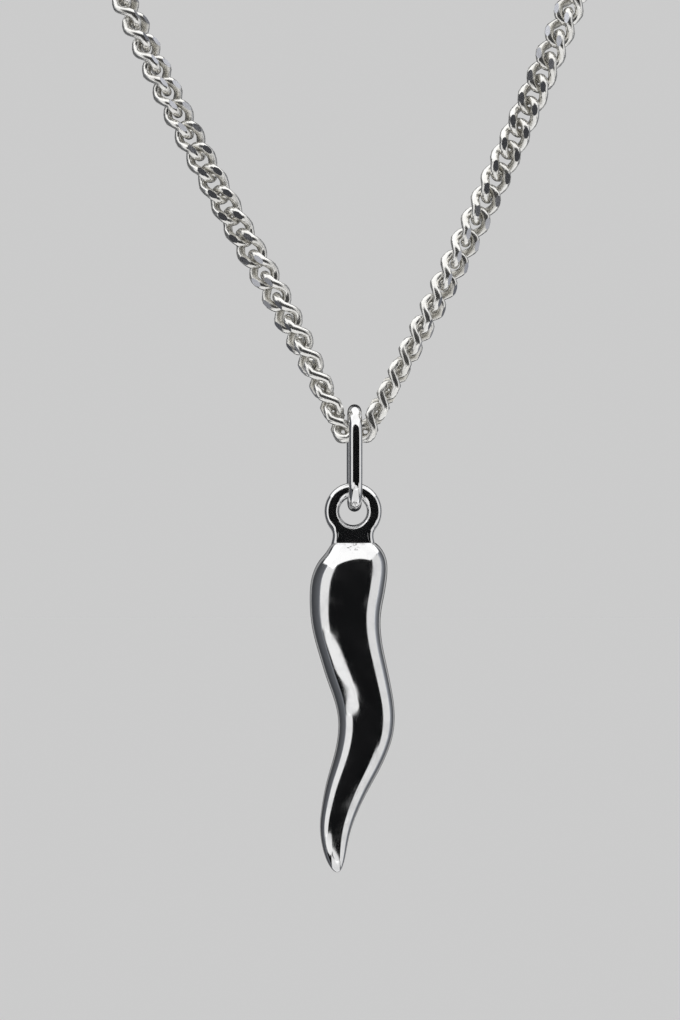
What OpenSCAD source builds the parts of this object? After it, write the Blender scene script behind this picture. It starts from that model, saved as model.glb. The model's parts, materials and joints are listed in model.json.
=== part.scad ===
// Horn pendant in polished silver, hanging by an oval bail from a curb chain
// that a bolt ring closes behind the neck. X runs to the wearer's left, Y runs
// back through the neck and Z runs up. The origin is the centre of the neck,
// level with the stretch of chain that lies round the back of it.

/* [Horn] */
// Length from the middle of the cast loop to the tip
horn_len = 25.75; // [23:0.25:29]
// Widest part of the horn, seen from the front
horn_w = 5.43; // [4.8:0.01:6]
// Thickness from front to back, as a share of the width
horn_flat = 0.86; // [0.7:0.01:1]
// Middle radius of the cast loop on top of the horn
loop_r = 1.5; // [1.45:0.05:1.6]
// Thickness of the loop's wire
loop_wire = 1; // [0.9:0.05:1]

/* [Bail] */
// Height of the oval bail over its wire
bail_len = 7.8; // [7.4:0.1:8.4]
// Clear width inside the bail
bail_gap = 2.96; // [2.9:0.02:3.4]
// Thickness of the bail's wire
bail_wire = 0.96; // [0.8:0.02:0.96]

/* [Chain] */
// Links on each side of the one that passes through the bail
links_a_side = 113; // [108:1:118]
// Distance from one link to the next
link_pitch = 1.75; // [1.74:0.01:1.76]
// Thickness of the chain's wire
chain_wire = 0.6; // [0.5:0.01:0.6]

/* [Clasp] */
// Middle radius of the bolt ring
clasp_r = 2.3; // [2.1:0.1:2.6]
// Thickness of the bolt ring's tube
clasp_wire = 1; // [0.8:0.05:1.1]
// Thickness of the small rings at the chain's two ends
ring_wire = 0.5; // [0.4:0.05:0.5]

/* [Hidden] */
silver = [0.86, 0.86, 0.88];
hang = 0.19;              // play between two wires, one hung in the other
loop_play = 0.1;          // play between the bail's foot and the horn's loop
bail_drop = 0.4;          // middle of the bail's upper bend, below the middle link
deg = 180 / PI;
fine = 48;                // steps round a ring
bend_fine = 24;           // steps round a bend of a link
wire_fine = 16;           // steps round a wire
join_size = 0.01;         // the size at which a link's bends are joined

// A curb link is a ring of round wire that is twisted to lie flat. It has six bends:
// one across each tip, and two along each side, which meet in the middle of the side.
link_reach = 1.28;        // from the middle of the link to the wire's middle at a tip
tip_turn = 52;            // half the angle that a tip bend turns through
tip_lean = 44;            // how far the tip bends lean over, to either side
side_lean = 64;           // slope of the wire in the middle of a side

// Where a tip bend ends, and how the wire runs there and in the middle of the side.
tip_run = [1 - cos(tip_turn), -sin(tip_turn) * cos(tip_lean), sin(tip_turn) * sin(tip_lean)];
tip_way = [-sin(tip_turn), cos(tip_turn) * cos(tip_lean), -cos(tip_turn) * sin(tip_lean)];
side_way = [-cos(side_lean), 0, sin(side_lean)];

// A side bend fits both only where these two planes hold its ends, which sets the
// half width of the link and the radius of its tip bends.
halfway = tip_way - side_way;
square_to = cross(tip_way, side_way);
across_fit = square_to * tip_run;
along_fit = halfway * tip_run;
fit = (halfway[1] * across_fit - square_to[1] * along_fit) / link_reach;
link_side = (halfway[0] * across_fit - square_to[0] * along_fit) / fit;
tip_r = (halfway[1] * square_to[0] - square_to[1] * halfway[0]) / fit;
tip_end = [link_reach, 0, 0] - tip_r * tip_run;
side_turn = acos(tip_way * side_way);
side_r = norm([0, link_side, 0] - tip_end) / (2 * sin(side_turn / 2));
side_axis = square_to / norm(square_to);
side_out = cross(tip_way, side_axis);

// How the two links beside the bail hang in the middle one: outwards, upwards,
// and across, towards the front on the right and towards the back on the left.
first_out = 1.17;
first_up = 0.7;
first_shift = 0.35;
shift_run = 60;           // length of strand over which that shift dies away

// The strands, going up from the bail. Each row is one leg, bent evenly: its
// length, then its angle from the vertical at its start and at its end.
right_front = [[32, 29, 23]];
left_front = [[13, 24, 30], [19, 30, 25.5]];
right_turn = 66;          // length of the bend that brings the right strand level

// How far the chain is rolled about its own line. Each row is a distance along
// the chain from the bail, left of it first, and the roll there.
roll_table = [
    [-197.75, -224], [-190, -180], [-64, -180], [-33, -76], [-29, -55], [-22, -22],
    [-18.6, -3], [-15, 16], [-10.6, 45], [-6, 72], [-1.75, 86], [0, 90], [1.75, 94],
    [4, 88], [8, 73], [12, 55], [16, 36], [19, 21], [23, 3], [27.5, -22], [33, -50],
    [64, -180], [190, -180], [197.75, -136]
];

// The horn from its shoulder to near its tip. Each row is one level: how far down
// it is in hundredths of the length, then how far its middle lies to the right
// and its width, in hundredths of the widest part.
horn_rows = [
    [8.6, 0, 20], [8.9, 0, 54], [9.5, 0, 65], [11.2, 1, 75], [13.4, -2, 89], [16.2, -5, 97],
    [19.5, -8, 100], [23.4, -10, 98], [27.8, -12, 93], [32.3, -11, 90], [37, -7, 87],
    [41.7, -1, 85], [46.7, 5, 83], [51.7, 12, 78], [56.1, 16, 75], [60, 16, 73],
    [63.9, 13, 72], [68, 7, 68], [72.2, -1, 65], [76.7, -10, 58], [81.1, -17, 51],
    [85.5, -23, 45], [89.9, -26, 38], [93.8, -26, 31], [96.6, -25, 24], [98.6, -24, 16],
    [99.6, -23, 9], [100, -23, 3]
];
row_steps = 2;            // rings made for each row
horn_sides = 32;
tab_w = 3.05;             // flat tab between the loop and the horn
tab_t = 1.1;
tab_top = 1.3;            // its top and bottom, below the middle of the loop
tab_end = 2.7;

// Length across, and up, of the first part of a leg.
function leg_angle(leg, l) = leg[1] + (leg[2] - leg[1]) * l / leg[0];
function leg_across(leg, l) =
    l * (cos(leg[1]) - cos(leg_angle(leg, l))) / (leg_angle(leg, l) - leg[1]) * deg;
function leg_up(leg, l) =
    l * (sin(leg_angle(leg, l)) - sin(leg[1])) / (leg_angle(leg, l) - leg[1]) * deg;
function rise(legs, i = 0) =
    i == len(legs) ? 0 : leg_up(legs[i], legs[i][0]) + rise(legs, i + 1);

// Place on a strand laid out flat, at a distance from its first link: across, up,
// and the angle from the vertical.
function on_strand(legs, l, i = 0, start = [0, 0]) =
    i == len(legs) ? [start[0] + l, start[1], 90]
    : l <= 0 ? [start[0], start[1], legs[i][1]]
    : l <= legs[i][0] ? [start[0] + leg_across(legs[i], l), start[1] + leg_up(legs[i], l),
                         leg_angle(legs[i], l)]
    : on_strand(legs, l - legs[i][0], i + 1,
                start + [leg_across(legs[i], legs[i][0]), leg_up(legs[i], legs[i][0])]);

// The left strand's last bend is as long as it must be to come level with the right.
right_legs = concat(right_front, [[right_turn, right_front[0][2], 90]]);
left_steep = left_front[1][2];
left_turn = (rise(right_legs) - rise(left_front))
    * (90 - left_steep) / ((1 - sin(left_steep)) * deg);
left_legs = concat(left_front, [[left_turn, left_steep, 90]]);

// The clasp and its rings, each measured from the chain's last link on the right.
chain_half = chain_wire / 2;
ring_half = ring_wire / 2;
clasp_half = clasp_wire / 2;
ring_r = 1.3;             // middle radius of the small rings
eye_r = 0.85;             // middle radius of the clasp's eye
eye_set = 0.2;            // middle of the eye's wire, outside the middle of the tube
eye_out = clasp_r + eye_r + eye_set;
end_ring_at = link_reach - chain_half - ring_half - hang + ring_r;
clasp_at = end_ring_at + ring_r - ring_half - clasp_half - hang + clasp_r;
clasp_ring_at = clasp_at + eye_out + eye_r - ring_wire - hang + ring_r;
clasp_span = clasp_ring_at + ring_r - ring_half - chain_half - hang + link_reach;

// The strands and the clasp together go once round the neck.
strand_len = (links_a_side - 1) * link_pitch;
right_end = first_out + on_strand(right_legs, strand_len)[0];
left_end = first_out + on_strand(left_legs, strand_len)[0];
neck_r = (right_end + left_end + clasp_span) / (2 * PI);
middle_z = -(rise(right_legs) + first_up);

// The bail hangs round the middle link, and the horn's loop in the foot of the bail.
bail_r = (bail_gap + bail_wire) / 2;
bail_top_z = middle_z - bail_drop;
bail_foot_z = bail_top_z - (bail_len - 2 * bail_r - bail_wire);
loop_z = bail_foot_z - bail_r + bail_wire / 2 + loop_wire / 2 + loop_play - loop_r;

// Turns a place laid out flat, with a heading in degrees from the vertical and a
// roll, into a place round the neck. The heading is over 90 where the path goes down.
function round_neck(across, up, out, heading, roll) =
    let (
        turn = across / neck_r * deg,
        along = [cos(turn) * sin(heading), sin(turn) * sin(heading), cos(heading)],
        outward = [sin(turn), -cos(turn), 0],
        side = cross(outward, along),
        y = side * cos(roll) + outward * sin(roll),
        z = outward * cos(roll) - side * sin(roll),
        at = outward * (neck_r + out) + [0, 0, up]
    )
    [[along[0], y[0], z[0], at[0]], [along[1], y[1], z[1], at[1]],
     [along[2], y[2], z[2], at[2]], [0, 0, 0, 1]];

// Where each link goes: side is 1 for the right strand and -1 for the left, and
// link 1 is the first one beyond the middle link.
function link_place(side, i) =
    let (
        l = (i - 1) * link_pitch,
        flat = on_strand(side > 0 ? right_legs : left_legs, l),
        shift = side * first_shift * max(0, 1 - l / shift_run),
        roll = lookup(side * i * link_pitch, roll_table)
    )
    round_neck(side * (first_out + flat[0]), middle_z + first_up + flat[1], shift,
               side > 0 ? flat[2] : 180 - flat[2], roll);

// Slope of a column of the horn's table at one row, and a smooth value between rows.
function slope(c, i) =
    let (a = max(0, i - 1), b = min(len(horn_rows) - 1, i + 1))
    (horn_rows[b][c] - horn_rows[a][c]) / (horn_rows[b][0] - horn_rows[a][0]);
function between(c, i, t) =
    let (gap = horn_rows[i + 1][0] - horn_rows[i][0])
    horn_rows[i][c] * (1 + 2 * t) * pow(1 - t, 2) + horn_rows[i + 1][c] * t * t * (3 - 2 * t)
    + gap * (slope(c, i) * t * pow(1 - t, 2) - slope(c, i + 1) * t * t * (1 - t));

module horn_body() {
    last = len(horn_rows) - 1;
    levels = [for (i = [0:last - 1], j = [0:row_steps - 1]) [i, j / row_steps], [last - 1, 1]];
    points = [
        for (v = levels)
            let (
                down = (horn_rows[v[0]][0] * (1 - v[1]) + horn_rows[v[0] + 1][0] * v[1]) / 100,
                x = between(1, v[0], v[1]) / 100 * horn_w,
                w = between(2, v[0], v[1]) / 100 * horn_w
            )
            for (k = [0:horn_sides - 1])
                let (a = 360 * k / horn_sides)
                [x + w / 2 * cos(a), w / 2 * horn_flat * sin(a), -down * horn_len]
    ];
    rings = len(levels);
    walls = [
        for (i = [0:rings - 2], k = [0:horn_sides - 1])
            let (a = i * horn_sides + k, b = i * horn_sides + (k + 1) % horn_sides)
            each [[a, b, b + horn_sides], [a, b + horn_sides, a + horn_sides]]
    ];
    top = [for (k = [horn_sides - 1:-1:0]) k];
    tip = [for (k = [0:horn_sides - 1]) (rings - 1) * horn_sides + k];
    polyhedron(points, concat([top], [tip], walls));
}

module horn() {
    color(silver) translate([0, -neck_r, loop_z]) {
        horn_body();
        translate([-tab_w / 2, -tab_t / 2, -tab_end]) cube([tab_w, tab_t, tab_end - tab_top]);
        rotate([90, 0, 0]) ring(loop_r, loop_wire);
    }
}

module ring(r, wire) {
    rotate_extrude($fn = fine) translate([r, 0]) circle(d = wire, $fn = wire_fine);
}

module bail() {
    straight = bail_top_z - bail_foot_z;
    color(silver) translate([0, -neck_r, bail_foot_z]) rotate([90, 0, 90]) {
        translate([0, straight, 0]) bail_bend(0);
        bail_bend(180);
        for (s = [-1, 1])
            translate([s * bail_r, 0, 0]) rotate([-90, 0, 0])
                cylinder(d = bail_wire, h = straight, $fn = fine);
    }
}

module bail_bend(start) {
    rotate([0, 0, start]) rotate_extrude(angle = 180, $fn = fine)
        translate([bail_r, 0]) circle(d = bail_wire, $fn = fine);
}

module bend(r, angle) {
    rotate_extrude(angle = angle, $fn = bend_fine)
        translate([r, 0]) circle(d = chain_wire, $fn = wire_fine);
}

// The bend across one tip of a link.
module tip_bend(s) {
    rotate([-s * tip_lean, 0, 0]) rotate([0, 0, 90 - s * 90]) translate([link_reach - tip_r, 0, 0])
        rotate([0, 0, -tip_turn]) bend(tip_r, 2 * tip_turn);
}

// The bend from the end of a tip bend to the middle of the side.
module side_bend() {
    middle = tip_end - side_r * side_out;
    multmatrix([for (i = [0:2]) [side_out[i], tip_way[i], side_axis[i], middle[i]]])
        bend(side_r, side_turn);
}

// A whole link. Its bends are joined at a small size, so that their ends meet closely.
module link() {
    scale(1 / join_size) {
        for (s = [-1, 1]) scale(join_size) tip_bend(s);
        for (turn = [[0, 0, 0], [180, 0, 0], [0, 180, 0], [0, 0, 180]])
            scale(join_size) rotate(turn) side_bend();
    }
}

module chain_left() {
    color(silver) for (i = [1:links_a_side]) multmatrix(link_place(-1, i)) link();
}

// The right strand, with the middle link that passes through the bail.
module chain_right() {
    color(silver) {
        multmatrix(round_neck(0, middle_z, 0, 90, 90)) link();
        for (i = [1:links_a_side]) multmatrix(link_place(1, i)) link();
    }
}

// A piece behind the neck, at a distance from the chain's last link on the right.
module behind(at, roll) {
    multmatrix(round_neck(right_end + at, 0, 0, 90, roll)) children();
}

module clasp() {
    color(silver) behind(clasp_at, 0) {
        ring(clasp_r, clasp_wire);
        translate([eye_out, 0, 0]) ring(eye_r, ring_wire);
    }
}

module clasp_ring() {
    color(silver) behind(clasp_ring_at, 90) ring(ring_r, ring_wire);
}

module end_ring() {
    color(silver) behind(end_ring_at, 90) ring(ring_r, ring_wire);
}

horn();
bail();
chain_left();
chain_right();
clasp();
clasp_ring();
end_ring();
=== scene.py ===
import json
import math
from math import cos, radians, sin

import bmesh
import bpy
from mathutils import Matrix, Vector


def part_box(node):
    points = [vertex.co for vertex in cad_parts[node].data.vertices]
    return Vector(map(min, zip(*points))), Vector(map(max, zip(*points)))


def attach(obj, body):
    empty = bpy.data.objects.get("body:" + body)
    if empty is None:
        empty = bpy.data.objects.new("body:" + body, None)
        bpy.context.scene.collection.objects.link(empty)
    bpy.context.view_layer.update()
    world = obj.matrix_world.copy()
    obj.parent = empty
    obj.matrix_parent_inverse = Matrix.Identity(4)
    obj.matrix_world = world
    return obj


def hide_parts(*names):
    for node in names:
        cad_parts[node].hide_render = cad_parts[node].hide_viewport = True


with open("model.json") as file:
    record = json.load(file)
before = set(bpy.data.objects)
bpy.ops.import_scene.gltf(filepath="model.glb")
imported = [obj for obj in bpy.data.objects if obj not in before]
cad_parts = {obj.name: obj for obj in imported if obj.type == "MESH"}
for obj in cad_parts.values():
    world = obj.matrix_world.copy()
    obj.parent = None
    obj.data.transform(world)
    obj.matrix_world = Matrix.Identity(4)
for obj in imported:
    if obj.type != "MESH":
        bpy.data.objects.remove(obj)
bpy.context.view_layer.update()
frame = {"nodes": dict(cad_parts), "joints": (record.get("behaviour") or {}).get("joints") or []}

mm = 0.001

# The view. The pendant hangs straight in front of a long lens, so both strands keep
# their true widths. Everything is placed from the two pivots of the solid model.
picture = (680, 1020)           # width and height in pixels
pixel = mm / 14                 # one pixel of the picture, at the pendant
middle_px = (354.5, 432)        # where the middle link lies in the picture
bail_drop = 0.4 * mm            # the bail's upper pivot lies this far below that link
stand_off = 0.8                 # from the lens to the pendant

pivots = {joint["name"]: Vector(joint["pos_m"]) for joint in frame["joints"]}
bail_top, bail_foot = pivots["bail_swing"], pivots["horn_swing"]
neck_r = -bail_top.y
middle = bail_top + Vector((0, 0, bail_drop))
aim = middle + Vector(((picture[0] / 2 - middle_px[0]) * pixel, 0,
                       (middle_px[1] - picture[1] / 2) * pixel))

camera = bpy.data.objects.new("camera", bpy.data.cameras.new("camera"))
camera.location = aim - Vector((0, stand_off, 0))
camera.rotation_euler = (radians(90), 0, 0)
camera.data.lens = camera.data.sensor_width * stand_off / (picture[1] * pixel)
camera.data.clip_start, camera.data.clip_end = 0.01, 20
bpy.context.scene.collection.objects.link(camera)
bpy.context.scene.camera = camera


# The horn with its tab and loop: one silver casting, polished to a mirror. The body is
# a little flatter than round and bends twice on its way down. The loop is a flat ring
# with rounded edges, and the tab runs from it into the shoulder.
horn_flat = 0.86                # the body's depth, as a share of its width
horn_sides, horn_levels = 16, 34   # the cage of the body, which subdivision makes smooth
loop_left = 0.1 * mm            # how far the loop's middle lies left of the bail
loop_drop = 0.38 * mm           # and below the middle of the wire at its foot
loop_hole, loop_outer = 0.985 * mm, 2.06 * mm   # inner and outer radius
loop_depth = 1.02 * mm
loop_rounding = 0.46 * mm
loop_sides = 32
tab_half_angle = 50             # how much of the loop's lower rim runs on into the tab
# The tab's two steps down from that rim: level below the loop's middle, share of the width.
tab_steps = [(1.95 * mm, 0.99), (2.85 * mm, 1.2)]
shoulder = 2.23 * mm            # the body starts this far below the loop's middle
# The body also bends a little backwards: how far, and where and over what share of its length.
horn_sway, sway_at, sway_run = 0.4 * mm, 0.55, 0.15
# Casting pits where the tab joins the body: in front of the loop's middle, below the shoulder.
pits_out, pits_drop = 1.1 * mm, 0.5 * mm
pits_r, pits_depth = 0.9 * mm, 50e-6
hairbreadth = 0.01 * mm         # points closer together than this are one point

horn_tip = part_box("horn")[0].z
loop_middle = Vector((-loop_left, -neck_r, bail_foot.z - loop_drop))
upright = Matrix.Rotation(radians(90), 4, "X")   # turns a flat ring to face the front


def as_verts(geom):
    return [g for g in geom if isinstance(g, bmesh.types.BMVert)]


def as_edges(geom, among):
    """The edges in an operator's result that run between two of the given verts."""
    among = set(among)
    return [g for g in geom if isinstance(g, bmesh.types.BMEdge) and among.issuperset(g.verts)]


def once_each(items):
    """The items with no repeats, in the order that they come in."""
    return list(dict.fromkeys(items))


def ring_of_edges(bm, sides, place):
    verts = bmesh.ops.create_circle(bm, segments=sides, radius=1, matrix=place)["verts"]
    return once_each(edge for vert in verts for edge in vert.link_edges)


def pull_through(bm, sides, places):
    """A tube: a ring of edges pulled through a row of places, matrices whose Z runs along."""
    first = rim = ring_of_edges(bm, sides, places[0])
    for here, there in zip(places, places[1:]):
        grown = bmesh.ops.extrude_edge_only(bm, edges=rim)["geom"]
        verts = as_verts(grown)
        bmesh.ops.transform(bm, matrix=there @ here.inverted(), verts=verts)
        rim = as_edges(grown, verts)
    return first, rim


def plump(sides):
    """How much wider the cage of a round tube is than the smooth surface that it makes."""
    return 3 / (2 + cos(2 * math.pi / sides))


def horn_level(z):
    """The casting's middle and half width at one level, from a cut through the solid."""
    cut = bmesh.new()
    cut.from_mesh(frame["nodes"]["horn"].data)
    sliced = bmesh.ops.bisect_plane(cut, geom=cut.verts[:] + cut.edges[:] + cut.faces[:],
                                    plane_co=(0, 0, z), plane_no=(0, 0, 1))
    across = [vert.co.x for vert in as_verts(sliced["geom_cut"])]
    cut.free()
    return (min(across) + max(across)) / 2, (max(across) - min(across)) / 2


def horn_body(bm):
    """The body, with its levels closer together towards the shoulder and the tip."""
    top, tip = loop_middle.z - shoulder, horn_tip + hairbreadth
    wide = plump(horn_sides)
    places = []
    for i in range(horn_levels + 1):
        down = (1 - cos(math.pi * i / horn_levels)) / 2
        z = top + (tip - top) * down
        x, half = horn_level(z)
        back = horn_sway * math.exp(-((down - sway_at) / sway_run) ** 2)
        size = Matrix.Diagonal((half * wide, half * wide * horn_flat, 1, 1))
        places.append(Matrix.Translation((x, -neck_r + back, z)) @ size)
    for end in pull_through(bm, horn_sides, places):
        bmesh.ops.edgeloop_fill(bm, edges=end)


def horn_loop(bm):
    """The loop and its tab: a flat plate with a round hole, made thick and rounded all over."""
    face = Matrix.Translation(loop_middle - Vector((0, loop_depth / 2, 0))) @ upright
    outer = ring_of_edges(bm, loop_sides, face @ Matrix.Scale(loop_outer, 4))
    inner = ring_of_edges(bm, loop_sides, face @ Matrix.Scale(loop_hole, 4))
    plate = bmesh.ops.bridge_loops(bm, edges=outer + inner)["faces"]
    low = loop_middle.z - loop_outer * cos(radians(tab_half_angle))
    rim = [edge for edge in outer if max(vert.co.z for vert in edge.verts) < low]
    for down, share in tab_steps:
        grown = bmesh.ops.extrude_edge_only(bm, edges=rim)["geom"]
        verts = as_verts(grown)
        line = Matrix.Translation((0, 0, down - loop_middle.z))
        bmesh.ops.scale(bm, vec=(share, 1, 0), space=line, verts=verts)
        rim = as_edges(grown, verts)
        plate += [g for g in grown if isinstance(g, bmesh.types.BMFace)]
    back = bmesh.ops.extrude_face_region(bm, geom=plate, use_keep_orig=True)["geom"]
    bmesh.ops.translate(bm, vec=(0, loop_depth, 0), verts=as_verts(back))
    plate += [g for g in back if isinstance(g, bmesh.types.BMFace)]
    flats = set(plate)
    rims = [edge for edge in bm.edges if sum(face in flats for face in edge.link_faces) == 1]
    bmesh.ops.bevel(bm, geom=rims, affect="EDGES", offset=loop_rounding, segments=3,
                    profile=0.5, material=-1, clamp_overlap=False)


def finished_piece(name, bm, smooth_levels):
    """Closes a bmesh into an object at the origin, with smooth faces that point outwards."""
    bmesh.ops.recalc_face_normals(bm, faces=bm.faces)
    for face in bm.faces:
        face.smooth = True
    mesh = bpy.data.meshes.new(name)
    bm.to_mesh(mesh)
    bm.free()
    piece = bpy.data.objects.new(name, mesh)
    bpy.context.scene.collection.objects.link(piece)
    if smooth_levels:
        smoothing = piece.modifiers.new("smoothing", "SUBSURF")
        smoothing.levels = smoothing.render_levels = smooth_levels
    return piece


def add(tree, kind, inputs=None, **settings):
    """One shader node, with its settings, and its inputs as values or as sockets to link."""
    node = tree.nodes.new(kind)
    for key, value in settings.items():
        setattr(node, key, value)
    for key, value in (inputs or {}).items():
        if isinstance(value, bpy.types.NodeSocket):
            tree.links.new(value, node.inputs[key])
        else:
            node.inputs[key].default_value = value
    return node


def effect(name, inputs, outputs):
    """An empty node group with named number or colour sockets, and its two end nodes."""
    tree = bpy.data.node_groups.new(name, "ShaderNodeTree")
    for sockets, way in ((inputs, "INPUT"), (outputs, "OUTPUT")):
        for label, kind in sockets.items():
            tree.interface.new_socket(label, in_out=way, socket_type="NodeSocket" + kind)
    return tree, tree.nodes.new("NodeGroupInput").outputs, tree.nodes.new("NodeGroupOutput").inputs


def maths(tree, operation, a, b):
    return add(tree, "ShaderNodeMath", {0: a, 1: b}, operation=operation).outputs[0]


def handwork():
    """Slow waves left by the polishing wheel, about 2.4 mm long, and hairline scratches that
    cross each other. Their scales are per metre."""
    tree, given, made = effect("handwork", {"Waves": "Float", "Scratches": "Float"},
                               {"Height": "Float", "Scratched": "Float"})
    place = add(tree, "ShaderNodeTexCoord").outputs["Object"]
    waves = add(tree, "ShaderNodeTexNoise", {"Vector": place, "Scale": 420, "Detail": 1})
    lines = []
    for turn in (20, -35):
        along = add(tree, "ShaderNodeMapping", {"Vector": place, "Rotation": (0, radians(turn), 0),
                                                "Scale": (14000, 9000, 500)})
        hair = add(tree, "ShaderNodeTexNoise", {"Vector": along.outputs[0], "Scale": 1, "Detail": 2})
        lines.append(add(tree, "ShaderNodeMapRange", {
            "Value": hair.outputs[0], "From Min": 0.62, "From Max": 0.78}).outputs[0])
    scratched = maths(tree, "MAXIMUM", *lines)
    dug = maths(tree, "MULTIPLY", scratched, given["Scratches"])
    rolled = maths(tree, "MULTIPLY", waves.outputs[0], given["Waves"])
    tree.links.new(maths(tree, "SUBTRACT", rolled, dug), made["Height"])
    tree.links.new(scratched, made["Scratched"])
    return tree


def tarnish():
    """Bright metal that dulls in soft patches, and more where the Recess is high, which paints shade
    there as well as tarnish.
    """
    tree, given, made = effect("tarnish", {"Bright": "Color", "Dull": "Color", "Recess": "Float"},
                               {"Color": "Color", "Dulled": "Float"})
    place = add(tree, "ShaderNodeTexCoord").outputs["Object"]
    cloud = add(tree, "ShaderNodeTexNoise", {"Vector": place, "Scale": 900, "Detail": 4})
    patch = add(tree, "ShaderNodeMapRange", {
        "Value": cloud.outputs[0], "From Min": 0.45, "From Max": 0.75, "To Max": 0.3})
    # The Recess adds painted shade, with some tarnish, to the random dull patches.
    dulled_and_shaded = add(tree, "ShaderNodeMath", {0: patch.outputs[0], 1: given["Recess"]},
                 operation="ADD", use_clamp=True).outputs[0]
    # A Mix node takes its two colours at sockets 6 and 7, and its two numbers at 2 and 3.
    colour = add(tree, "ShaderNodeMix", {"Factor": dulled_and_shaded, 6: given["Bright"], 7: given["Dull"]},
                 data_type="RGBA")
    tree.links.new(colour.outputs[2], made["Color"])
    tree.links.new(dulled_and_shaded, made["Dulled"])
    return tree


handwork_group, tarnish_group = handwork(), tarnish()
scratch_haze, tarnish_haze = 0.08, 0.25    # roughness that scratches and tarnish add


def silver(name, bright, dull, roughness, waves, scratches, recess=None, pitted=None, metallic=1):
    """Polished silver, with the heights of its waves and scratches in metres. The recess, if any,
    names the vertex attribute that holds it, which paints shade and some tarnish in hollows.
    Pitted metal has a patch of casting pits: its middle, its radius and the depth of the pits.
    A metallic share below 1 leaves a little of the surface matt, as fine wear does."""
    material = bpy.data.materials.new(name)
    material.use_nodes = True
    tree = material.node_tree
    shader = tree.nodes["Principled BSDF"]
    shader.inputs["Metallic"].default_value = metallic
    hand = add(tree, "ShaderNodeGroup", node_tree=handwork_group)
    hand.inputs["Waves"].default_value = waves
    hand.inputs["Scratches"].default_value = scratches
    tarnished_and_shaded = add(tree, "ShaderNodeGroup", node_tree=tarnish_group)
    tarnished_and_shaded.inputs["Bright"].default_value = (*bright, 1)
    tarnished_and_shaded.inputs["Dull"].default_value = (*dull, 1)
    if recess:
        deep = add(tree, "ShaderNodeAttribute", attribute_name=recess)
        tree.links.new(deep.outputs["Fac"], tarnished_and_shaded.inputs["Recess"])
    rubbed = maths(tree, "MULTIPLY", hand.outputs["Scratched"], scratch_haze)
    dulled_and_shaded = maths(tree, "MULTIPLY", tarnished_and_shaded.outputs["Dulled"], tarnish_haze)
    rough = maths(tree, "ADD", maths(tree, "ADD", rubbed, dulled_and_shaded), roughness)
    height = hand.outputs["Height"]
    if pitted:
        patch_middle, patch_r, depth = pitted
        place = add(tree, "ShaderNodeTexCoord").outputs["Object"]
        patch = add(tree, "ShaderNodeMapping", {"Vector": place, "Location": patch_middle,
                                                "Scale": (patch_r,) * 3}, vector_type="TEXTURE")
        nearby = add(tree, "ShaderNodeTexGradient", {"Vector": patch.outputs[0]},
                     gradient_type="SPHERICAL")
        grain = add(tree, "ShaderNodeTexNoise", {"Vector": place, "Scale": 3500, "Detail": 2})
        pits = add(tree, "ShaderNodeMapRange", {
            "Value": grain.outputs[0], "From Min": 0.52, "From Max": 0.7, "To Max": depth})
        height = maths(tree, "SUBTRACT", height, maths(tree, "MULTIPLY", nearby.outputs["Fac"],
                                                       pits.outputs[0]))
    bump = add(tree, "ShaderNodeBump", {"Height": height, "Distance": 1.0})
    tree.links.new(tarnished_and_shaded.outputs["Color"], shader.inputs["Base Color"])
    tree.links.new(rough, shader.inputs["Roughness"])
    tree.links.new(bump.outputs[0], shader.inputs["Normal"])
    return material


casting = bmesh.new()
horn_loop(casting)
horn_body(casting)
horn = finished_piece("horn_casting", casting, 2)
pits_middle = loop_middle - Vector((0, pits_out, shoulder + pits_drop))
horn.data.materials.append(silver("mirror_silver", (0.93, 0.93, 0.93), (0.62, 0.62, 0.64),
                                  0.09, 8e-6, 0.15e-6, pitted=(pits_middle, pits_r, pits_depth)))
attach(horn, "horn")
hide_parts("horn")


# The bail: one oval ring of round wire, soldered shut, that hangs over the chain's middle
# link and holds the horn's loop in its foot.
bail_low, bail_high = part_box("bail")
bail_wire = bail_high.x - bail_low.x
bail_r = (bail_high.y - bail_low.y - bail_wire) / 2
foot_bend = bail_foot + Vector((0, 0, bail_r))   # middle of the bend at the bail's foot
bail_straight = bail_top.z - foot_bend.z
bail_turn = radians(2.5)        # how far its front leg hangs to the right
leg_steps, bend_steps = 3, 8
wire_sides = 8                  # of the cage of a wire, which subdivision makes round
x_axis, y_axis, z_axis = Matrix.Identity(3)


def bent_wire(bm, sides, radius, start, bends):
    """Wire swept from a start place through bends: centre, axis, degrees, steps and slide.
    A bend of no steps turns the last ring of edges where it is."""
    edges = ring_of_edges(bm, sides, start @ Matrix.Scale(radius * plump(sides), 4))
    last = edges + once_each(vert for edge in edges for vert in edge.verts)
    for centre, axis, degrees, steps, slide in bends:
        if steps:
            last = bmesh.ops.spin(bm, geom=last, cent=centre, axis=axis, angle=radians(degrees),
                                  steps=steps, dvec=slide / steps)["geom_last"]
        else:
            bmesh.ops.rotate(bm, cent=centre, matrix=Matrix.Rotation(radians(degrees), 3, axis),
                             verts=as_verts(last))


still = Vector()
rise_up = Vector((0, 0, bail_straight))
ring = bmesh.new()
bent_wire(ring, wire_sides, bail_wire / 2, Matrix.Translation(foot_bend - bail_r * y_axis), [
    (still, x_axis, 0, leg_steps, rise_up), (bail_top, x_axis, -180, bend_steps, still),
    (still, x_axis, 0, leg_steps, -rise_up), (foot_bend, x_axis, -180, bend_steps, still)])
bmesh.ops.remove_doubles(ring, verts=ring.verts, dist=hairbreadth)
bmesh.ops.rotate(ring, cent=bail_top, matrix=Matrix.Rotation(bail_turn, 3, "Z"), verts=ring.verts)
bail = finished_piece("bail_ring", ring, 2)
bail.data.materials.append(silver("wire_silver", (0.93, 0.93, 0.93), (0.6, 0.6, 0.6),
                                  0.08, 3e-6, 0.15e-6))
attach(bail, "bail")
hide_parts("bail")


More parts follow.
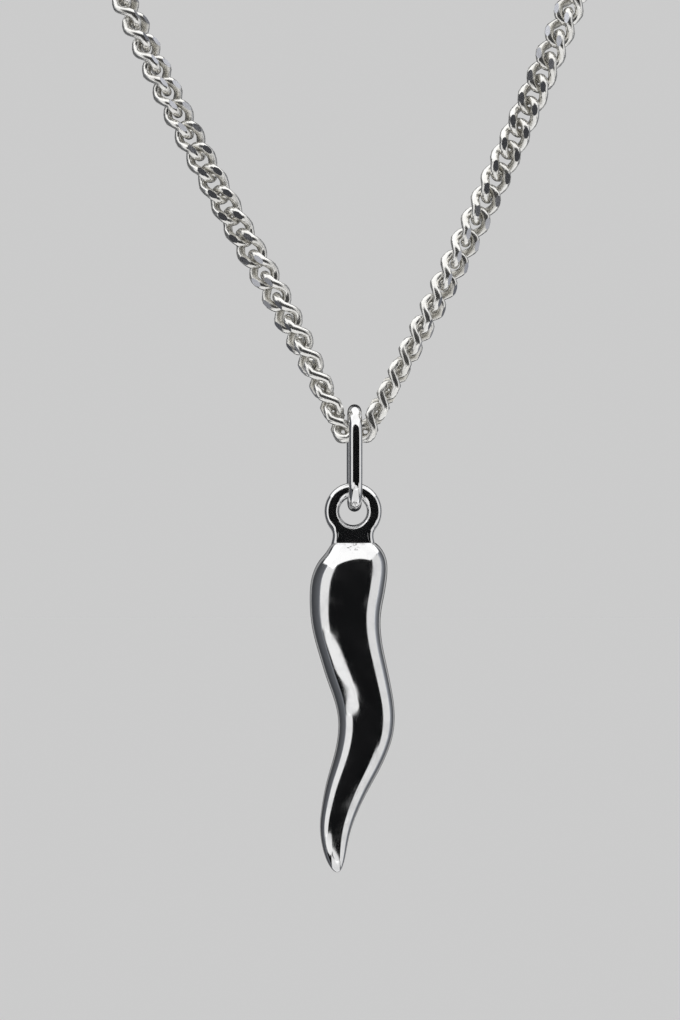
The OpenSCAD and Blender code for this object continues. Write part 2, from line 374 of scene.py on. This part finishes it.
# The chain: 227 curb links, each a ring of round silver wire twisted to lie flat. A link has
# a bend across either tip and two along each side, and its four crests are milled flat. The
# two strands leave the middle link, which holds the bail, and go round the neck.
link_reach = 1.28 * mm          # from the link's middle to the wire's middle at a tip
tip_turn = radians(52)          # half of what a tip bend turns through
tip_lean = radians(44)          # how far the tip bends lean over, to either side
side_lean = radians(64)         # slope of the wire in the middle of a side
solid_wire = 0.6 * mm           # what the solid links have, 0.1 mm clear of each other
link_wire, link_sides = 0.64 * mm, 6
crest_flat = 0.68 * mm          # the milled flats' distance from the middle of the link
rim_passes, rim_softness = 2, 0.3   # how the rims of the flats are smoothed
recess_shade_and_tarnish = 0.9            # painted shade, with some tarnish, on the wire that faces the inside of its link
links_a_side = 113
link_pitch = 1.75 * mm
# How the links beside the middle one hang in it: outwards, upwards, and across, to the front
# on the right and to the back on the left. The last fades out over the shift's run.
first_out, first_up, first_shift = 1.17 * mm, 0.7 * mm, 0.35 * mm
shift_run = 60 * mm

# Each leg of a strand, going up from the bail: length, angle from the vertical at both ends.
right_front = [(32 * mm, 29, 23)]
left_front = [(13 * mm, 24, 30), (19 * mm, 30, 25.5)]
right_turn = 66 * mm            # length of the bend that brings the right strand level
# Distance along the chain from the bail, left of it first, and how far it is rolled there.
roll_table = [
    (-197.75, -224), (-190, -180), (-64, -180), (-33, -76), (-29, -55), (-22, -22), (-18.6, -3),
    (-15, 16), (-10.6, 45), (-6, 72), (-1.75, 86), (0, 90), (1.75, 94), (4, 88), (8, 73), (12, 55),
    (16, 36), (19, 21), (23, 3), (27.5, -22), (33, -50), (64, -180), (190, -180), (197.75, -136)]


def quarter_link():
    """The wire from a tip to the middle of a side: points, each with the way it runs there.
    The side's bend is a round arc that carries on from the tip's with no kink. That sets
    the half width of the link and the radius of its tip bends."""
    tip_start = Vector((0, cos(tip_lean), -sin(tip_lean)))
    tip_run = (1 - cos(tip_turn)) * x_axis - sin(tip_turn) * tip_start
    tip_way = cos(tip_turn) * tip_start - sin(tip_turn) * x_axis
    side_way = Vector((-cos(side_lean), 0, sin(side_lean)))
    halfway, square_to = tip_way - side_way, tip_way.cross(side_way)
    across_fit, along_fit = square_to.dot(tip_run), halfway.dot(tip_run)
    fit = (halfway.y * across_fit - square_to.y * along_fit) / link_reach
    tip_r = (halfway.y * square_to.x - square_to.y * halfway.x) / fit
    link_side = (halfway.x * across_fit - square_to.x * along_fit) / fit
    tip_end = link_reach * x_axis - tip_r * tip_run
    side_turn = tip_way.angle(side_way)
    side_r = (link_side * y_axis - tip_end).length / (2 * sin(side_turn / 2))
    side_middle = tip_end + side_r * square_to.normalized().cross(tip_way)
    wire = []
    for bend_middle, axis, start, way, turn in (
            ((link_reach - tip_r) * x_axis, x_axis.cross(tip_way), link_reach * x_axis,
             tip_start, tip_turn),
            (side_middle, square_to, tip_end, tip_way, side_turn)):
        for share in (0, 0.5):
            turned = Matrix.Rotation(turn * share, 3, axis)
            wire.append((bend_middle + turned @ (start - bend_middle), turned @ way))
    return wire, (link_side * y_axis, side_way)


def curb_link():
    """A tube of a few dozen faces, rounded by one subdivision and milled on its two faces."""
    quarter, side = quarter_link()
    tip = quarter[:1]
    half_turn = {axis: Matrix.Rotation(radians(180), 3, axis) for axis in "YZ"}
    back = [(at, -way) for at, way in reversed(quarter[1:])]
    wire = quarter + [side] + [(half_turn["Y"] @ at, half_turn["Y"] @ way) for at, way in back]
    wire += [(half_turn["Z"] @ at, half_turn["Z"] @ way) for at, way in wire] + tip
    places = []
    for at, way in wire:
        out = (at - at.project(way)).normalized()
        turned = Matrix((out, way.cross(out), way)).transposed().to_4x4()
        places.append(Matrix.Translation(at) @ turned @ Matrix.Scale(link_wire / 2, 4))
    link = bmesh.new()
    pull_through(link, link_sides, places)
    bmesh.ops.remove_doubles(link, verts=link.verts, dist=hairbreadth)
    bmesh.ops.recalc_face_normals(link, faces=link.faces)
    link.normal_update()
    bmesh.ops.subdivide_edges(link, edges=link.edges, cuts=1, smooth=1, smooth_falloff="LINEAR",
                              use_grid_fill=True)
    link.normal_update()
    # The recess paints shade, with some tarnish, on wire that faces the inside of its link.
    recess = link.verts.layers.float.new("recess")
    for vert in link.verts:
        inward = Vector((-vert.co.x, -vert.co.y, 0)).normalized()
        vert[recess] = max(0, recess_shade_and_tarnish * vert.normal.dot(inward))
    for face in (-1, 1):
        milled = bmesh.ops.bisect_plane(
            link, geom=link.verts[:] + link.edges[:] + link.faces[:], dist=hairbreadth / 10,
            plane_co=(0, 0, face * crest_flat), plane_no=(0, 0, face), clear_outer=True)["geom_cut"]
        rims = [g for g in milled if isinstance(g, bmesh.types.BMEdge)]
        for _ in range(rim_passes):
            bmesh.ops.smooth_vert(link, verts=as_verts(milled), factor=rim_softness,
                                  use_axis_x=True, use_axis_y=True, use_axis_z=False)
        bmesh.ops.edgeloop_fill(link, edges=rims, mat_nr=1)   # the flats take the second skin, silver painted darker and bluer as a painted reflection
        for edge in rims:
            edge.smooth = False
    mesh = bpy.data.meshes.new("curb_link")
    link.to_mesh(mesh)
    link.free()
    return mesh


def on_strand(legs, run):
    """A place on a strand laid out flat: across, up, and the angle from the vertical."""
    across = up = 0
    for length, start, end in legs:
        part = min(run, length)
        half_bend = radians(end - start) * part / length / 2
        chord = part * sin(half_bend) / half_bend if part else 0
        across += chord * sin(radians(start) + half_bend)
        up += chord * cos(radians(start) + half_bend)
        if run <= length:
            return across, up, radians(start) + 2 * half_bend
        run -= length
    return across + run, up, radians(90)


def climb(legs):
    """How far a strand rises in all."""
    return on_strand(legs, sum(leg[0] for leg in legs))[1]


def rolled(distance):
    """The chain's roll at a distance from the bail, between two rows of the table."""
    for (a, low), (b, high) in zip(roll_table, roll_table[1:]):
        if distance <= b * mm:
            break
    share = min(max((distance / mm - a) / (b - a), 0), 1)
    return radians(low + (high - low) * share)


def round_neck(across, up, out, heading, roll):
    """A place laid out flat, with its heading and roll, wrapped round the neck."""
    turn = across / neck_r
    along = Vector((cos(turn) * sin(heading), sin(turn) * sin(heading), cos(heading)))
    outward = Vector((sin(turn), -cos(turn), 0))
    side = outward.cross(along)
    frame_y = side * cos(roll) + outward * sin(roll)
    frame_z = outward * cos(roll) - side * sin(roll)
    turned = Matrix((along, frame_y, frame_z)).transposed().to_4x4()
    return Matrix.Translation(outward * (neck_r + out) + Vector((0, 0, up))) @ turned


def link_place(side, number):
    """Where a link goes: side is 1 on the right and -1 on the left, and number 1 is the first."""
    run = (number - 1) * link_pitch
    across, up, heading = on_strand(right_legs if side > 0 else left_legs, run)
    shift = side * first_shift * max(0, 1 - run / shift_run)
    return round_neck(side * (first_out + across), middle.z + first_up + up, shift,
                      heading if side > 0 else math.pi - heading,
                      rolled(side * number * link_pitch))


right_legs = right_front + [(right_turn, right_front[-1][2], 90)]
left_steep = left_front[-1][2]
left_turn = ((climb(right_legs) - climb(left_front)) * radians(90 - left_steep)
             / (1 - sin(radians(left_steep))))
left_legs = left_front + [(left_turn, left_steep, 90)]
middle_place = round_neck(0, middle.z, 0, radians(90), radians(90))
one_link = curb_link()
# The link silver's dull colour also paints shade, with some tarnish, where the recess is high.
link_skin = silver("link_silver", (0.97, 0.96, 0.93), (0.68, 0.66, 0.6), 0.22, 2e-6, 0.2e-6,
                   recess="recess", metallic=0.95)
# The milled flats take a darker, bluish copy of the link silver: a painted reflection of the dark
# room they mirror.
painted_dark_flat_skin = silver("cut_silver_painted_dark", (0.56, 0.57, 0.61), (0.4, 0.4, 0.42), 0.22, 1e-6, 0.4e-6,
                   metallic=0.9)


def strand(name, node, places):
    """One piece for a row of links: the same mesh, set down at each place."""
    bm = bmesh.new()
    for place in places:
        bm.from_mesh(one_link)
        bm.verts.ensure_lookup_table()
        bmesh.ops.transform(bm, matrix=place, verts=bm.verts[-len(one_link.vertices):])
    piece = finished_piece(name, bm, 0)
    piece.data.materials.append(link_skin)
    piece.data.materials.append(painted_dark_flat_skin)
    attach(piece, "chain")
    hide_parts(node)


strand("left_strand", "chain_left", [link_place(-1, i) for i in range(1, links_a_side + 1)])
strand("right_strand", "chain_right",
       [middle_place] + [link_place(1, i) for i in range(1, links_a_side + 1)])


# The clasp: a plain silver bolt ring with its eye soldered on, and a small ring at either
# end of the chain that it joins behind the neck.
ring_r, ring_wire = 1.3 * mm, 0.5 * mm
clasp_r, clasp_wire = 2.3 * mm, 1.0 * mm
eye_r, eye_set = 0.85 * mm, 0.2 * mm
clasp_steps, eye_steps, ring_steps = 20, 14, 16    # round each ring of wire
hang = 0.19 * mm                # play between two wires, one hung in the other
right_end = first_out + on_strand(right_legs, (links_a_side - 1) * link_pitch)[0]
eye_out = clasp_r + eye_r + eye_set
end_ring_at = link_reach - solid_wire / 2 - ring_wire / 2 - hang + ring_r
clasp_at = end_ring_at + ring_r - ring_wire / 2 - clasp_wire / 2 - hang + clasp_r
clasp_ring_at = clasp_at + eye_out + eye_r - ring_wire - hang + ring_r
clasp_skin = silver("clasp_silver", (0.91, 0.91, 0.91), (0.45, 0.45, 0.45), 0.08, 2e-6, 0.8e-6)


def round_ring(bm, radius, wire, steps, middle_x=0):
    """A ring of wire that lies flat, with its middle on the X axis."""
    start = Matrix.Translation((middle_x + radius, 0, 0)) @ Matrix.Rotation(radians(90), 4, "X")
    bent_wire(bm, wire_sides, wire / 2, start, [(middle_x * x_axis, z_axis, 360, steps, still)])


def behind_neck(name, node, rings, at, roll):
    """A piece of plain rings, each a row of radius, wire, steps and middle, on the chain's line."""
    bm = bmesh.new()
    for radius, wire, steps, middle_x in rings:
        round_ring(bm, radius, wire, steps, middle_x)
    bmesh.ops.remove_doubles(bm, verts=bm.verts, dist=hairbreadth)
    place = round_neck(right_end + at, 0, 0, radians(90), roll)
    bmesh.ops.transform(bm, matrix=place, verts=bm.verts)
    piece = finished_piece(name, bm, 2)
    piece.data.materials.append(clasp_skin)
    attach(piece, "chain")
    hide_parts(node)


bolt_rings = [(clasp_r, clasp_wire, clasp_steps, 0), (eye_r, ring_wire, eye_steps, eye_out)]
small_ring = [(ring_r, ring_wire, ring_steps, 0)]
behind_neck("bolt_ring", "clasp", bolt_rings, clasp_at, 0)
behind_neck("clasp_jump_ring", "clasp_ring", small_ring, clasp_ring_at, radians(90))
behind_neck("end_jump_ring", "end_ring", small_ring, end_ring_at, radians(90))


# The studio: a plain pale floor below the pendant, in even light. Polished silver shows
# what it mirrors: soft boxes at both sides, overhead and below, three low cards in front,
# two narrow boxes behind, and a dark room between them.
floor_level, floor_r = -0.135, 6
pale, room = 0.8, 0.75          # the floor's paint, and the light that fills the room
box_distance = 0.5              # from the pendant to the middle of each box
# What the polished silver mirrors between the boxes: azimuth and brightness of the room.
dark_room = [(-180, 0.02), (-120, 0.06), (-90, 0.12), (-84.5, 0.3), (-84, 0.005), (103.5, 0.005),
             (104.5, 0.5), (114, 0.2), (135, 0.06), (180, 0.02)]
room_tint = (0.94, 0.98, 1.07)  # a little blue
floor_mesh = bpy.data.meshes.new("floor")
floor_bm = bmesh.new()
bmesh.ops.create_circle(floor_bm, cap_ends=True, segments=64, radius=floor_r,
                        matrix=Matrix.Translation((0, 0, floor_level)))
floor_bm.to_mesh(floor_mesh)
floor_bm.free()
floor = bpy.data.objects.new("floor", floor_mesh)
bpy.context.scene.collection.objects.link(floor)
paint = bpy.data.materials.new("pale_floor")
paint.use_nodes = True
painted = paint.node_tree
matt = painted.nodes["Principled BSDF"]
matt.inputs["Base Color"].default_value = (pale, pale, pale, 1)
matt.inputs["Roughness"].default_value = 0.9
matt.inputs["Specular IOR Level"].default_value = 0
# The floor is clear from below, so that the pendant can also be seen from there.
from_below = add(painted, "ShaderNodeNewGeometry").outputs["Backfacing"]
clear = add(painted, "ShaderNodeBsdfTransparent").outputs[0]
one_sided = add(painted, "ShaderNodeMixShader", {0: from_below, 1: matt.outputs[0], 2: clear})
painted.links.new(one_sided.outputs[0], painted.nodes["Material Output"].inputs[0])
floor_mesh.materials.append(paint)
floor.visible_glossy = False


def soft_box(name, azimuth, elevation, width, height, glow, lean=0, shape="RECTANGLE"):
    """A soft box that faces the pendant. It shows only where the silver mirrors it, and lights
    nothing matt. Azimuth 0 is the camera's side and 90 the right, and the lean turns the box
    in its own plane."""
    a, e = radians(azimuth), radians(elevation)
    away = Vector((sin(a) * cos(e), -cos(a) * cos(e), sin(e)))
    light = bpy.data.lights.new(name, "AREA")
    light.shape, light.size, light.size_y = shape, width, height
    area = width * height * (math.pi / 4 if shape == "ELLIPSE" else 1)
    light.energy = glow * math.pi * area
    box = bpy.data.objects.new(name, light)
    box.location = aim + away * box_distance
    facing = away.to_track_quat("Z", "Y").to_matrix()
    box.rotation_euler = (facing @ Matrix.Rotation(radians(lean), 3, "Z")).to_euler()
    box.visible_camera = box.visible_diffuse = False
    bpy.context.scene.collection.objects.link(box)


# Each with its azimuth, elevation, width, height and glow, then its lean and shape.
soft_box("left_box", -67.5, 10.3, 0.296, 0.478, 0.8)
soft_box("right_box", 85, -1, 0.344, 0.675, 0.72)
soft_box("top_box", 0, 90, 1.5, 0.93, 1.05)
soft_box("low_box", 8, -78, 1.0, 0.86, 0.8)
soft_box("front_card", 9, -33, 0.55, 0.12, 0.8, -5, "ELLIPSE")
soft_box("left_card", -50, -23, 0.53, 0.13, 0.88, -5, "ELLIPSE")
soft_box("right_card", 59, -24, 0.122, 0.13, 0.72)
soft_box("back_right", 148, 0, 0.16, 0.9, 0.35)
soft_box("back_left", -150, 5, 0.2, 0.9, 0.25)

# The silver mirrors the dark room. The camera sees the world in the floor's own shade, and
# everything matt is lit by it evenly.
world = bpy.data.worlds.new("studio")
bpy.context.scene.world = world
world.use_nodes = True
sky = world.node_tree
looking = add(sky, "ShaderNodeTexCoord").outputs["Generated"]
toward = add(sky, "ShaderNodeSeparateXYZ", {0: looking}).outputs
azimuth = maths(sky, "ARCTAN2", toward["X"], maths(sky, "MULTIPLY", toward["Y"], -1))
share_round = add(sky, "ShaderNodeMath", {0: azimuth, 1: 1 / (2 * math.pi), 2: 0.5},
                  operation="MULTIPLY_ADD").outputs[0]
mirrored = add(sky, "ShaderNodeValToRGB", {0: share_round})
stops = mirrored.color_ramp.elements
for angle, grey in dark_room:
    place = (angle + 180) / 360
    stop = stops[0] if place == 0 else stops[-1] if place == 1 else stops.new(place)
    stop.color = (*[grey * tint for tint in room_tint], 1)
rays = add(sky, "ShaderNodeLightPath").outputs
shown = add(sky, "ShaderNodeMix", {"Factor": rays["Is Camera Ray"], 2: room, 3: room * pale})
glow = add(sky, "ShaderNodeMix", {"Factor": rays["Is Glossy Ray"], 6: shown.outputs[0],
                                  7: mirrored.outputs[0]}, data_type="RGBA")
sky.links.new(glow.outputs[2], sky.nodes["Background"].inputs["Color"])
bpy.context.scene.view_settings.view_transform = "Standard"

bpy.context.view_layer.update()
